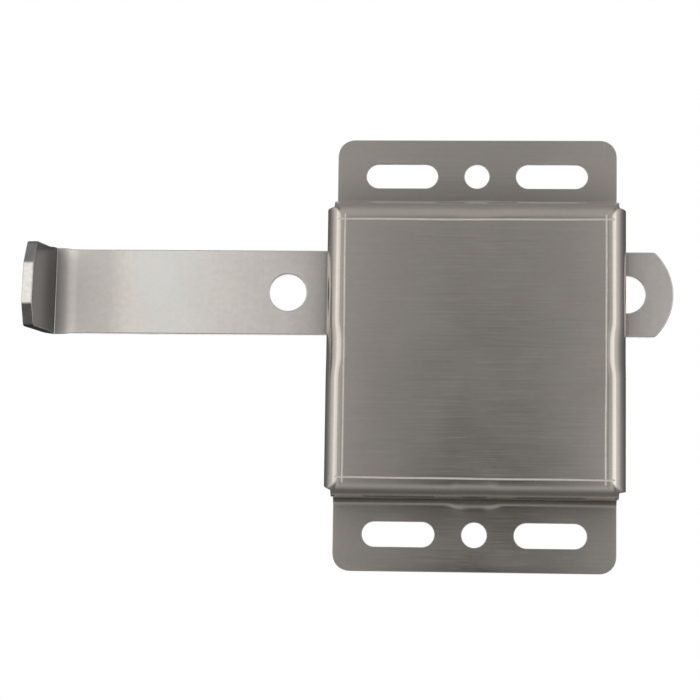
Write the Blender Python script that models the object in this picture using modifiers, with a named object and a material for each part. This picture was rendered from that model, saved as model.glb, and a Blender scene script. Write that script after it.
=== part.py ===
"""Slide bolt latch: a flat bolt in a folded steel housing, held at either end of its travel by a toggle spring.

Metres, +Z up. The housing bolts to a door whose surface is the plane y = 0, and stands out of it towards -Y.
The origin is the centre of the mounting holes on that surface. The bolt is open, at the -X end of its travel.
"""

import math

import bmesh
import bpy
from mathutils import Matrix, Vector

GAP = 0.0003  # left between pieces that touch

# Housing
SHEET = 0.0019
BOX_WIDTH = 0.0882
BOX_HEIGHT = 0.0882
BOX_DEPTH = 0.0175
PANEL_BEND = 0.0052  # outer radius of the bends round the panel
ROOT_BEND = 0.0020  # inner radius of the bends into the flanges
BEND_STEPS = 5
NOTCH_STEPS = 2  # bend steps left standing at each open corner
OVERALL_HEIGHT = 0.1300
FLANGE_CORNER = 0.0053
HOLE_SPACING = 0.1080
HOLE_DIAMETER = 0.0075
SLOT_SPACING = 0.0451
SLOT_LENGTH = 0.0216

# Bolt
BOLT_WIDTH = 0.0254
BOLT_THICKNESS = 0.0032
BOLT_BACK = 0.0033  # height of its back face over the door
BOLT_Z = 0.0176
BOLT_TIP_X = 0.0584
BOLT_END_RADIUS = 0.0174
BOLT_END_CORNER = 0.0018
BOLT_TRAVEL = 0.0508
PADLOCK_HOLE = 0.0111
OPEN_PADLOCK_X = -0.0562
CLOSED_PADLOCK_X = 0.0447

# Thumb tab: the bar's front face lifts a little and then turns sharply at a pressed crease
TAB_BEND_X = -0.1217
TAB_BEND = (  # (length, slope in degrees) of each step along the front face
    (0.0015, 1),
    (0.0015, 3),
    (0.0015, 5.5),
    (0.0025, 78),
)
TAB_SLOPE = 81  # degrees, beyond the bend
TAB_LENGTH = 0.0170  # beyond the bend
TAB_SKEW = math.radians(1)
TAB_END_RADIUS = 0.0220
TAB_END_CORNER = 0.0012

# Pins
PIN_RADIUS = 0.0025
PIN_HEAD_RADIUS = 0.0045
PIN_HEAD_THICKNESS = 0.0012
PIN_EDGE = 0.0003
STOP_PIN_TOP = 0.0095
STOP_PIN_RISE = 0.0060  # above the bolt's centre line, clear of the spring
DRIVE_PIN_TOP = 0.0149
STUD_FLANGE_THICKNESS = 0.0008
STUD_END = 0.0106
RETAINER_RADIUS = 0.0048
RETAINER_THICKNESS = 0.0007
RETAINER_BASE = 0.0112
TURN_STEPS = 32

# Toggle spring
ANCHOR_Z = -0.0320
WIRE_RADIUS = 0.0010
COIL_CENTRE = Vector((-0.0002, -0.0008))
COIL_RADIUS = 0.0070  # to the middle of the wire
COIL_TURNS = 2
COIL_PITCH = 0.0023
EYE_SWEEP = math.radians(290)
ANCHOR_EYE_HEIGHT = 0.0132
WIRE_STEP = math.radians(15)

HALF_WIDTH = BOX_WIDTH / 2
HALF_HEIGHT = BOX_HEIGHT / 2
PANEL_BACK = BOX_DEPTH - SHEET
WALL_INSIDE_X = HALF_WIDTH - SHEET
BOLT_FRONT = BOLT_BACK + BOLT_THICKNESS
BOLT_MIDDLE = BOLT_BACK + BOLT_THICKNESS / 2
OPEN_STOP_X = -WALL_INSIDE_X + PIN_HEAD_RADIUS + GAP
CLOSED_STOP_X = WALL_INSIDE_X - PIN_HEAD_RADIUS - GAP - BOLT_TRAVEL
DRIVE_X = (OPEN_STOP_X + CLOSED_STOP_X) / 2
EYE_RADIUS = PIN_RADIUS + GAP + WIRE_RADIUS


def cleared_scene():
    for obj in list(bpy.data.objects):
        bpy.data.objects.remove(obj, do_unlink=True)


def collection(name):
    made = bpy.data.collections.new(name)
    bpy.context.scene.collection.children.link(made)
    return made


def metal(name, colour, roughness):
    material = bpy.data.materials.new(name)
    material.use_nodes = True
    shader = material.node_tree.nodes["Principled BSDF"]
    shader.inputs["Base Color"].default_value = (*colour, 1)
    shader.inputs["Metallic"].default_value = 1
    shader.inputs["Roughness"].default_value = roughness
    material.diffuse_color = (*colour, 1)
    return material


def object_of(bm, name, group, material=None):
    mesh = bpy.data.meshes.new(name)
    bm.to_mesh(mesh)
    bm.free()
    obj = bpy.data.objects.new(name, mesh)
    group.objects.link(obj)
    if material:
        mesh.materials.append(material)
        mesh.shade_smooth()
        mesh.set_sharp_from_angle(angle=math.radians(30))
    return obj


def cut(obj, cutter):
    cutter.hide_render = True
    cutter.display_type = "WIRE"
    modifier = obj.modifiers.new("cut " + cutter.name, "BOOLEAN")
    modifier.object = cutter
    modifier.solver = "EXACT"


def box_cutter(name, low, high):
    bm = bmesh.new()
    bmesh.ops.create_cube(bm, size=1)
    size = Vector(high) - Vector(low)
    bmesh.ops.transform(bm, matrix=Matrix.Diagonal((*size, 1)), verts=bm.verts)
    bmesh.ops.translate(bm, vec=(Vector(high) + Vector(low)) / 2, verts=bm.verts)
    return object_of(bm, name, cutters)


def round_cutter(name, x, z, diameter, length=0.0, depth=0.04):
    """A rod along Y, drawn out along X into a slot's shape when length is given."""
    bm = bmesh.new()
    bmesh.ops.create_cone(
        bm, cap_ends=True, segments=TURN_STEPS, radius1=diameter / 2, radius2=diameter / 2, depth=depth
    )
    turn = Matrix.Rotation(math.pi / 2, 4, "X") @ Matrix.Rotation(math.pi / TURN_STEPS, 4, "Z")
    bmesh.ops.transform(bm, matrix=turn, verts=bm.verts)
    if length:
        stretch = (length - diameter) / 2
        for vert in bm.verts:
            vert.co.x += math.copysign(stretch, vert.co.x)
    bmesh.ops.translate(bm, vec=(x, 0, z), verts=bm.verts)
    return object_of(bm, name, cutters)


# --- Housing ---------------------------------------------------------------------------------------------


def bend_stations(half):
    """(position, drop below the panel) along one outer bend, from the panel outwards."""
    panel_edge = half - PANEL_BEND
    for step in range(BEND_STEPS + 1):
        angle = math.pi / 2 * step / BEND_STEPS
        yield panel_edge + PANEL_BEND * math.sin(angle), PANEL_BEND * (1 - math.cos(angle))


def side_stations():
    """One half of the fold line across the side walls."""
    return [*bend_stations(HALF_WIDTH), (HALF_WIDTH, BOX_DEPTH)]


def flange_stations():
    """One half of the fold line over an end wall, its root bend and its flange."""
    stations = list(bend_stations(HALF_HEIGHT))
    for step in range(BEND_STEPS + 1):
        angle = math.pi / 2 * step / BEND_STEPS
        position = HALF_HEIGHT + ROOT_BEND * (1 - math.cos(angle))
        stations.append((position, PANEL_BACK - ROOT_BEND * (1 - math.sin(angle))))
    stations.append((OVERALL_HEIGHT / 2, PANEL_BACK))
    return stations


def both_ways(half):
    return [(-position, drop) for position, drop in reversed(half)] + half


def folded_sheet():
    """The sheet's outer face: a flat grid, notched at its corners and moved onto its fold lines."""
    columns = both_ways(side_stations())
    rows = both_ways(flange_stations())
    bm = bmesh.new()
    bmesh.ops.create_grid(bm, x_segments=len(columns) - 1, y_segments=len(rows) - 1, size=1)
    side_notch = len(side_stations()) - 1 - NOTCH_STEPS
    end_notch = len(flange_stations()) - 1 - NOTCH_STEPS
    beyond_notch = []
    for vert in bm.verts:
        column = round((vert.co.x + 1) / 2 * (len(columns) - 1))
        row = round((vert.co.y + 1) / 2 * (len(rows) - 1))
        (x, drop_x), (z, drop_z) = columns[column], rows[row]
        vert.co = (x, max(drop_x, drop_z) - BOX_DEPTH, z)
        from_side = min(column, len(columns) - 1 - column)
        from_end = min(row, len(rows) - 1 - row)
        if from_side < side_notch and from_end < end_notch:
            beyond_notch.append(vert)
    bmesh.ops.delete(bm, geom=beyond_notch, context="VERTS")
    edge_verts = [vert for vert in bm.verts if abs(vert.co.z) > OVERALL_HEIGHT / 2 - GAP]
    corners = [vert for vert in edge_verts if len(vert.link_edges) == 2]
    bmesh.ops.dissolve_verts(bm, verts=[vert for vert in edge_verts if vert not in corners])
    bmesh.ops.bevel(bm, geom=corners, offset=FLANGE_CORNER, segments=6, profile=0.5, affect="VERTICES")
    bmesh.ops.recalc_face_normals(bm, faces=bm.faces)
    panel = min(bm.faces, key=lambda face: face.calc_center_median().y)
    if panel.normal.y > 0:
        bmesh.ops.reverse_faces(bm, faces=bm.faces)
    return bm


def make_housing(material):
    housing = object_of(folded_sheet(), "housing", parts, material)
    solid = housing.modifiers.new("thickness", "SOLIDIFY")
    solid.thickness = SHEET
    solid.offset = -1
    solid.use_even_offset = True
    for end, z in (("top", HOLE_SPACING / 2), ("bottom", -HOLE_SPACING / 2)):
        cut(housing, round_cutter(f"{end}_hole", 0, z, HOLE_DIAMETER))
        for side, x in (("left", -SLOT_SPACING / 2), ("right", SLOT_SPACING / 2)):
            cut(housing, round_cutter(f"{end}_{side}_slot", x, z, HOLE_DIAMETER, SLOT_LENGTH))
    window_half = BOLT_WIDTH / 2 + GAP
    cut(
        housing,
        box_cutter(
            "bolt_windows",
            (-BOX_WIDTH, -BOLT_FRONT - GAP, BOLT_Z - window_half),
            (BOX_WIDTH, -BOLT_BACK + GAP, BOLT_Z + window_half),
        ),
    )


# --- Bolt ------------------------------------------------------------------------------------------------


def end_arc(end_radius, corner_radius, steps=10):
    """Half outline of a bolt end, from its tip to its full width, as (distance back from the tip, offset)."""
    half = BOLT_WIDTH / 2
    reach = end_radius - corner_radius
    corner_offset = half - corner_radius
    corner_back = end_radius - math.sqrt(reach**2 - corner_offset**2)
    meeting = math.asin(corner_offset / reach)
    points = []
    for step in range(steps + 1):
        angle = meeting * step / steps
        back = end_radius * (1 - math.cos(angle))
        points.append((back, end_radius * math.sin(angle)))
    for step in range(1, 5):
        angle = meeting + (math.pi / 2 - meeting) * step / 4
        back = corner_back - corner_radius * math.cos(angle)
        points.append((back, corner_offset + corner_radius * math.sin(angle)))
    return points


def bolt_outline(left, right):
    """The bar's flat outline, anticlockwise from its right tip."""
    right_top = [(right - back, offset) for back, offset in end_arc(BOLT_END_RADIUS, BOLT_END_CORNER)]
    left_top = [(left + back, offset) for back, offset in reversed(end_arc(TAB_END_RADIUS, TAB_END_CORNER))]
    top = right_top + left_top
    return top + [(x, -offset) for x, offset in reversed(top[1:-1])]


def flat_bar(outline):
    curve = bpy.data.curves.new("bar outline", "CURVE")
    curve.dimensions = "2D"
    curve.fill_mode = "BOTH"
    curve.extrude = BOLT_THICKNESS / 2
    spline = curve.splines.new("POLY")
    spline.points.add(len(outline) - 1)
    for point, (x, offset) in zip(spline.points, outline):
        point.co = (x, offset, 0, 1)
    spline.use_cyclic_u = True
    drawn = bpy.data.objects.new("bar outline", curve)
    parts.objects.link(drawn)
    bpy.context.view_layer.update()
    mesh = bpy.data.meshes.new_from_object(drawn.evaluated_get(bpy.context.evaluated_depsgraph_get()))
    bpy.data.objects.remove(drawn, do_unlink=True)
    bm = bmesh.new()
    bm.from_mesh(mesh)
    bpy.data.meshes.remove(mesh)
    bmesh.ops.remove_doubles(bm, verts=bm.verts, dist=1e-6)
    bmesh.ops.transform(bm, matrix=Matrix.Rotation(math.pi / 2, 4, "X"), verts=bm.verts)
    return bm


def fold_tab(bm):
    """Bends the bar's left end towards -Y round an axis turned slightly from Z."""
    start = Vector((TAB_BEND_X, 0, 0))
    along = Matrix.Rotation(TAB_SKEW, 4, "Y") @ Vector((-1, 0, 0))
    stations = [(0, Vector((0, 0)))]  # distance along the flat bar, and (out, rise) of its front face there
    for length, slope in TAB_BEND:
        distance, place = stations[-1]
        angle = math.radians(slope)
        stations.append((distance + length, place + length * Vector((math.cos(angle), math.sin(angle)))))
    slopes = [math.radians(slope) for slope in (0, *(slope for _, slope in TAB_BEND), TAB_SLOPE)]
    for distance, _ in stations:
        bmesh.ops.bisect_plane(
            bm,
            geom=[*bm.verts, *bm.edges, *bm.faces],
            dist=1e-7,
            plane_co=start + along * distance,
            plane_no=along,
        )
    for vert in bm.verts:
        beyond = (vert.co - start).dot(along)
        if beyond < -1e-6:
            continue
        step = max(i for i, (distance, _) in enumerate(stations) if distance <= beyond + 1e-6)
        distance, place = stations[step]
        before, slope = slopes[step], slopes[step + 1]
        depth = vert.co.y + BOLT_THICKNESS / 2
        if beyond < distance + 1e-6:
            depth /= math.cos((slope - before) / 2)
            square = (slope + before) / 2
        else:
            place = place + (beyond - distance) * Vector((math.cos(slope), math.sin(slope)))
            square = slope
        out = place.x + depth * math.sin(square)
        drop = depth * math.cos(square) - place.y - BOLT_THICKNESS / 2
        across = vert.co - start - along * beyond
        vert.co = start + Vector((across.x, 0, across.z)) + along * out + Vector((0, drop, 0))


def make_bolt(material):
    left = TAB_BEND_X - sum(length for length, _ in TAB_BEND) - TAB_LENGTH
    bm = flat_bar(bolt_outline(left, BOLT_TIP_X))
    fold_tab(bm)
    bmesh.ops.recalc_face_normals(bm, faces=bm.faces)
    bolt = object_of(bm, "slide_bolt", parts, material)
    bolt.location = (0, -BOLT_MIDDLE, BOLT_Z)
    for name, x in (("open_padlock_hole", OPEN_PADLOCK_X), ("closed_padlock_hole", CLOSED_PADLOCK_X)):
        cut(bolt, round_cutter(name, x, BOLT_Z, PADLOCK_HOLE))
    pin_hole = 2 * (PIN_RADIUS + GAP)
    cut(bolt, round_cutter("drive_pin_hole", DRIVE_X, BOLT_Z, pin_hole))
    for name, x in (("open_stop_pin_hole", OPEN_STOP_X), ("closed_stop_pin_hole", CLOSED_STOP_X)):
        cut(bolt, round_cutter(name, x, BOLT_Z + STOP_PIN_RISE, pin_hole))


# --- Pins and retainer -----------------------------------------------------------------------------------


def turned(name, profile, x, z, material, closed=False):
    """A piece turned about an axis along Y. The profile gives (radius, height over the door), front first."""
    bm = bmesh.new()
    verts = [bm.verts.new((radius, 0, height)) for radius, height in profile]
    for first, second in zip(verts, verts[1:]):
        bm.edges.new((first, second))
    if closed:
        bm.edges.new((verts[-1], verts[0]))
    piece = object_of(bm, name, parts, material)
    screw = piece.modifiers.new("turn", "SCREW")
    screw.steps = screw.render_steps = TURN_STEPS
    screw.use_merge_vertices = True
    screw.merge_threshold = 1e-6
    piece.location = (x, 0, z)
    piece.rotation_euler = (math.pi / 2, 0, 0)


def headed_pin(name, x, z, top, material):
    """A pin pressed through the bolt from the back, its head between the bolt and the door."""
    head_top = BOLT_BACK - GAP
    head_base = head_top - PIN_HEAD_THICKNESS
    profile = [
        (0, top),
        (PIN_RADIUS - PIN_EDGE, top),
        (PIN_RADIUS, top - PIN_EDGE),
        (PIN_RADIUS, head_top),
        (PIN_HEAD_RADIUS, head_top),
        (PIN_HEAD_RADIUS, head_base + PIN_EDGE),
        (PIN_HEAD_RADIUS - PIN_EDGE, head_base),
        (0, head_base),
    ]
    turned(name, profile, x, z, material)


def make_anchor_stud(material):
    """The post welded to the back of the panel, its flange against the sheet."""
    flange_top = PANEL_BACK - GAP
    flange_base = flange_top - STUD_FLANGE_THICKNESS
    profile = [
        (0, flange_top),
        (PIN_HEAD_RADIUS, flange_top),
        (PIN_HEAD_RADIUS, flange_base),
        (PIN_RADIUS, flange_base),
        (PIN_RADIUS, STUD_END + PIN_EDGE),
        (PIN_RADIUS - PIN_EDGE, STUD_END),
        (0, STUD_END),
    ]
    turned("spring_anchor_stud", profile, 0, ANCHOR_Z, material)


def make_retainer(material):
    """The push-on washer that keeps the spring's lower eye on its post."""
    bore = PIN_RADIUS + GAP
    top = RETAINER_BASE + RETAINER_THICKNESS
    rise = RETAINER_THICKNESS / 2
    profile = [
        (bore, top - rise),
        (RETAINER_RADIUS - PIN_EDGE, top),
        (RETAINER_RADIUS, top - PIN_EDGE),
        (RETAINER_RADIUS, RETAINER_BASE),
        (bore, RETAINER_BASE - rise),
    ]
    turned("spring_retainer", profile, 0, ANCHOR_Z, material, closed=True)


# --- Toggle spring ---------------------------------------------------------------------------------------


def leaving_angle(start, start_radius, end, end_radius):
    """Where an anticlockwise circle is left, on the straight line that joins the next one."""
    link = end - start
    heading = math.atan2(link.y, link.x) - math.asin((end_radius - start_radius) / link.length)
    return heading - math.pi / 2


def arc(centre, radius, start, sweep, height, climb=0.0):
    steps = math.ceil(sweep / WIRE_STEP)
    for step in range(steps + 1):
        share = step / steps
        angle = start + sweep * share
        x = centre.x + radius * math.cos(angle)
        z = centre.y + radius * math.sin(angle)
        yield Vector((x, -(height + climb * share), z))


def spring_route():
    """Lower eye, leg, coil, leg and upper eye, wound anticlockwise as seen from the front."""
    anchor = Vector((0, ANCHOR_Z))
    drive = Vector((DRIVE_X, BOLT_Z))
    into_coil = leaving_angle(anchor, EYE_RADIUS, COIL_CENTRE, COIL_RADIUS)
    out_of_coil = leaving_angle(COIL_CENTRE, COIL_RADIUS, drive, EYE_RADIUS)
    coil_sweep = (out_of_coil - into_coil) % (2 * math.pi) + 2 * math.pi * COIL_TURNS
    climb = -COIL_PITCH * coil_sweep / (2 * math.pi)
    return [
        *arc(anchor, EYE_RADIUS, into_coil - EYE_SWEEP, EYE_SWEEP, ANCHOR_EYE_HEIGHT),
        *arc(COIL_CENTRE, COIL_RADIUS, into_coil, coil_sweep, ANCHOR_EYE_HEIGHT, climb),
        *arc(drive, EYE_RADIUS, out_of_coil, EYE_SWEEP, ANCHOR_EYE_HEIGHT + climb),
    ]


def make_spring(material):
    curve = bpy.data.curves.new("toggle_spring", "CURVE")
    curve.dimensions = "3D"
    curve.bevel_depth = WIRE_RADIUS
    curve.bevel_resolution = 2
    curve.use_fill_caps = True
    curve.materials.append(material)
    origin = Vector((0, -ANCHOR_EYE_HEIGHT, ANCHOR_Z))
    route = [point - origin for point in spring_route()]
    spline = curve.splines.new("POLY")
    spline.points.add(len(route) - 1)
    for point, place in zip(spline.points, route):
        point.co = (*place, 1)
    spring = bpy.data.objects.new("toggle_spring", curve)
    spring.location = origin
    parts.objects.link(spring)


# --- Assembly --------------------------------------------------------------------------------------------

cleared_scene()
parts = collection("slide_bolt_latch")
cutters = collection("cutters")
panel_steel = metal("panel_steel", (0.34, 0.33, 0.31), 0.42)
bolt_steel = metal("bolt_steel", (0.52, 0.50, 0.48), 0.38)
pin_steel = metal("pin_steel", (0.60, 0.60, 0.58), 0.30)
spring_steel = metal("spring_steel", (0.42, 0.42, 0.42), 0.28)

make_housing(panel_steel)
make_bolt(bolt_steel)
headed_pin("spring_drive_pin", DRIVE_X, BOLT_Z, DRIVE_PIN_TOP, pin_steel)
headed_pin("open_stop_pin", OPEN_STOP_X, BOLT_Z + STOP_PIN_RISE, STOP_PIN_TOP, pin_steel)
headed_pin("closed_stop_pin", CLOSED_STOP_X, BOLT_Z + STOP_PIN_RISE, STOP_PIN_TOP, pin_steel)
make_anchor_stud(pin_steel)
make_retainer(pin_steel)
make_spring(spring_steel)
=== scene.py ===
"""The look of a stainless slide bolt latch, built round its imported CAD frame.

Metres. The door is the plane y = 0 and the latch stands out of it towards -Y; +Z is up.
Sheet and bar pieces are drawn flat, with rounded edges, and then folded: s runs along X in the flat blank,
t along Z, and n is the height over the blank's front face.
"""

import math

import bmesh
import bpy
import numpy as np
from mathutils import Matrix, Vector


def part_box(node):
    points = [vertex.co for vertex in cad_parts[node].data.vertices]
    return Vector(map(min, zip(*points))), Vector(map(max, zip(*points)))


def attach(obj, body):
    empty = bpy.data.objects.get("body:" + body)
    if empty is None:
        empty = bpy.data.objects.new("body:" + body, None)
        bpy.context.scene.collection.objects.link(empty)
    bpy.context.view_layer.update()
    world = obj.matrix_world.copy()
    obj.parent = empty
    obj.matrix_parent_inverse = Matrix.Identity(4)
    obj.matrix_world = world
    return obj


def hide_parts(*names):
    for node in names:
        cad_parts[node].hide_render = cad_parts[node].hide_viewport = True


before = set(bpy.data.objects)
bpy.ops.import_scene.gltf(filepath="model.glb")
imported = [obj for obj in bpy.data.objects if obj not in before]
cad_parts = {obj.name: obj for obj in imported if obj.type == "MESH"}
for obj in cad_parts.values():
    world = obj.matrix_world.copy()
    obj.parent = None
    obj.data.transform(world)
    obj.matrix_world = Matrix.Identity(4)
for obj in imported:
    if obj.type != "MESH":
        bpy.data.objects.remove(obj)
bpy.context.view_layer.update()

MM = 0.001
UV_SCALE = 10.0  # UV units in a metre of flat blank

# Housing, as in the CAD
SHEET = 1.9 * MM
BOX_HALF = 44.1 * MM
PANEL_BEND = 5.2 * MM
ROOT_BEND = 2.4 * MM
NOTCH_TURN = math.radians(36)  # how far round each bend the open corners start
NOTCH_RADIUS = 0.7 * MM
FLANGE_CORNER = 5.3 * MM
HOLE_Z = 54.0 * MM
HOLE_DIAMETER = 7.5 * MM
SLOT_X = 22.55 * MM
SLOT_LENGTH = 21.6 * MM
WINDOW_HEIGHTS = (3.0 * MM, 6.8 * MM)
WINDOW_HALF = 13.0 * MM

# Housing, finish
CORNER_BLEND = (1.9, 2.6)  # how sharply two bends meet at a corner: near the panel, and lower down
SHEET_EDGE = 0.18 * MM
BOTTOM_SHORT = 0.5 * MM  # the bottom wall was folded this much inside the top one's place
SIDE_TAPER = 2.1 * MM  # the side walls' ends slant in by this much at the door
SIDE_SLANTS = (0.8 * MM, 0.8 * MM, 1.9 * MM, 0.8 * MM)  # and this much by the bends, round from the top right
SIDE_SLANT_LENGTH = 5.0 * MM
DART_HALF_LENGTH = 6.0 * MM  # the softer stretch in the middle of each bend
DART_SIDES = 0.9 * MM  # how much softer the panel's side bends are there
DART_ENDS = 0.35 * MM  # its top and bottom bends
DART_ROOTS = (0.25 * MM, 1.1 * MM)  # and the bends into the top and bottom flanges
DART_FADE = 1.6 * MM
RIPPLE = 0.07 * MM
SCRIBE_X = 38.3 * MM
SCRIBE_Z = 38.15 * MM
SCRIBE_OFF_CENTRE = 0.25 * MM
SCRIBE_HALF_WIDTHS = (0.17 * MM, 0.25 * MM)  # of the upright lines and the level ones
SCRIBE_DEPTH = 0.09 * MM
SCRIBE_OVERSHOOTS = (1.6 * MM, 2.3 * MM)
SCRIBE_WANDER = 0.14 * MM
# Partly the cut metal's own colour, partly a painted highlight: brighter than the panel.
SCRIBE_COLOUR = (0.96, 0.91, 0.83, 1)

# Bolt, as in the CAD
BOLT_HALF = 12.7 * MM
BAR = 3.2 * MM
BOLT_MIDDLE = 4.9 * MM  # height of the bar's middle over the door
BOLT_END_RADIUS = 17.4 * MM
BOLT_END_CORNER = 1.8 * MM
PADLOCK_HOLE = 11.1 * MM
PADLOCK_HOLES_X = (-56.2 * MM, 44.7 * MM)
PIN_HOLE = 5.6 * MM
TAB_BEND_X = -121.7 * MM
TAB_SLOPE = math.radians(81)
TAB_SKEW = math.radians(0.9)
TAB_END_FLAT = 5.8 * MM  # half the length of the square-cut part of the tab's end
TAB_END_CUT = math.radians(20.5)  # its corners are cut back at this angle
TAB_END_CORNER = 1.2 * MM
TAB_END_SKEW = math.radians(2)

# Bolt, finish
BAR_EDGE = 0.28 * MM
TAB_LIFT = (4.4 * MM, math.radians(6.5))  # the bar lifts a little before the bend: (length, slope reached)
TAB_CREASE = (0.3 * MM, math.radians(76))  # then turns sharply
TAB_CURVE = (5.0 * MM, TAB_SLOPE)  # then curves on to the tab's own slope
TAB_FLARE = 0.45 * MM
TAB_PAINTED_SHADE = (  # painted shade on the tab's inner face, given as (mm past the crease, share of its brightness lost)
    (-16, 0.66),
    (-12.5, 0.68),
    (-9, 0.75),
    (-5.5, 0.8),
    (-3, 0.77),
    (-1, 0.71),
    (0, 0.7),
)
BAR_PAINTED_LIGHT_AND_SHADE = (  # painted light and shade: how bright the bar's face is along it, set to look like the photo: (place in mm, factor)
    (-126, 0.57),
    (-124.4, 0.72),
    (-122.8, 1.0),
    (-121.5, 1.22),
    (-119.5, 0.96),
    (-113.5, 0.87),
    (-108, 1.0),
    (-104, 1.13),
    (-96, 1.2),
    (-88, 1.19),
    (-66, 1.03),
    (-46, 0.91),
    (44, 0.8),
    (57, 0.76),
)
TAB_COLOUR = (0.83, 0.825, 0.81, 1)
CREASE_GLINT = 0.8  # painted highlight: extra brightness of the crease
CREASE_U = (TAB_BEND_X - TAB_LIFT[0] - TAB_CREASE[0]) * UV_SCALE  # where it is along the flat blank

# Pins, stud, retainer and spring, as in the CAD
GAP = 0.3 * MM
PIN_RADIUS = 2.5 * MM
PIN_HEAD_RADIUS = 4.5 * MM
PIN_HEAD_TOP = 3.0 * MM
PIN_HEAD_BASE = 1.8 * MM
PIN_EDGE = 0.3 * MM
STOP_PIN_TOP = 9.5 * MM
DRIVE_PIN_TOP = 14.9 * MM
STUD_FLANGE = 0.8 * MM
STUD_END = 10.6 * MM
RETAINER_RADIUS = 4.8 * MM
RETAINER_HEIGHTS = (11.2 * MM, 11.9 * MM)
WIRE_RADIUS = 1.0 * MM
COIL_CENTRE = Vector((-0.2, -0.8)) * MM
COIL_RADIUS = 7.0 * MM
COIL_TURNS = 2
COIL_PITCH = 2.3 * MM
EYE_RADIUS = PIN_RADIUS + GAP + WIRE_RADIUS
EYE_SWEEP = math.radians(290)
ANCHOR_EYE_HEIGHT = 13.2 * MM

# Painted shade and wear on every brushed face, and painted light on the panel
PAINTED_SHADE_REACHES = (14 * MM, 2.5 * MM)  # how far the painted shade reaches out of a corner, and beside another piece
CORNER_PAINTED_SHADE = 0.55  # painted shade: share of a face's brightness lost deep in a corner
CONTACT_PAINTED_SHADE = 0.65  # painted shade right beside another piece
WORN_COLOUR = (0.8, 0.78, 0.75, 1)
PAINTED_LIGHT_SIDES, PAINTED_LIGHT_CORNER = 0.06, 0.13  # painted light: how much brighter the panel's sides and lower right corner are

# Studio
FLOOR_Z = -0.3
LIGHTS = (  # left and right: (x, y) of both edges, and brightness
    ((-160 * MM, -250 * MM), (-262 * MM, -170 * MM), 0.4),
    ((143 * MM, -250 * MM), (238 * MM, -190 * MM), 0.45),
)
LIGHT_HEIGHTS = (-70 * MM, 170 * MM)
LIGHT_COLOUR = (1.03, 1.0, 0.95)
TENT_TOP = 0.33
TENT_FOOT = 0.14
TENT_FALL = 0.75  # how much the sides darken above and below
TENT_SIDES = (  # brightness round the sides: (degrees round from the front, brightness)
    (0, 0.48),
    (16, 0.52),
    (30, 0.55),
    (52, 0.83),
    (64, 0.75),
    (79, 0.56),
    (96, 0.32),
    (116, 0.19),
    (180, 0.12),
)
TENT_RIGHT_TURN = 8.0  # degrees by which the right side is further round
TENT_BACK = 0.5
BEHIND = 1.0  # brightness of the white background, straight behind
GAP_DEPTH = 0.475
GAP_HALF_WIDTH = 5.6  # degrees
GAP_HEIGHTS = (-14.0, 12.0, 34.0)  # degrees: its middle, and how far from it the gap starts to fade and ends
CAMERA_LENS = 113.5
CAMERA_SHIFT = (-0.00136, -0.0007)
CAMERA_PLACE = (2.652 * MM, -658.319 * MM, -75.469 * MM)
CAMERA_TURN = [math.radians(angle) for angle in (96.6399, -0.8568, 3.3844)]


# --- Flat blanks -------------------------------------------------------------------------------------------


def circle(x, z, radius, steps=64):
    """Clockwise, as a hole is."""
    angles = [-math.tau * step / steps for step in range(steps)]
    return [(x + radius * math.cos(a), z + radius * math.sin(a)) for a in angles]


def slot_hole(x, z, length, width, steps=24):
    points = []
    for side, start in ((1, math.pi / 2), (-1, -math.pi / 2)):
        centre = x + side * (length - width) / 2
        for step in range(steps + 1):
            a = start - math.pi * step / steps
            points.append((centre + width / 2 * math.cos(a), z + width / 2 * math.sin(a)))
    return points


def rounded(corners, steps=8):
    """An outline from (x, z, radius) corners, each rounded off."""
    points = []
    for index, (x, z, radius) in enumerate(corners):
        here = Vector((x, z))
        before = (Vector(corners[index - 1][:2]) - here).normalized()
        after = (Vector(corners[(index + 1) % len(corners)][:2]) - here).normalized()
        half = before.angle(after) / 2
        centre = here + (before + after).normalized() * radius / math.sin(half)
        start = here + before * radius / math.tan(half) - centre
        sweep = before.angle_signed(after)
        turn = math.copysign(math.pi - abs(sweep), sweep)
        for step in range(steps + 1):
            a = turn * step / steps
            points.append(
                (
                    centre.x + start.x * math.cos(a) - start.y * math.sin(a),
                    centre.y + start.x * math.sin(a) + start.y * math.cos(a),
                )
            )
    return points


def inward(loop):
    """Each corner's direction into the material, on the left, long enough to offset the loop by 1."""
    points = np.array(loop)
    edge = np.roll(points, -1, 0) - points
    edge /= np.linalg.norm(edge, axis=1)[:, None]
    left = np.stack([-edge[:, 1], edge[:, 0]], 1)
    both = left + np.roll(left, 1, 0)
    return both * 2 / (both**2).sum(1)[:, None]


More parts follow.
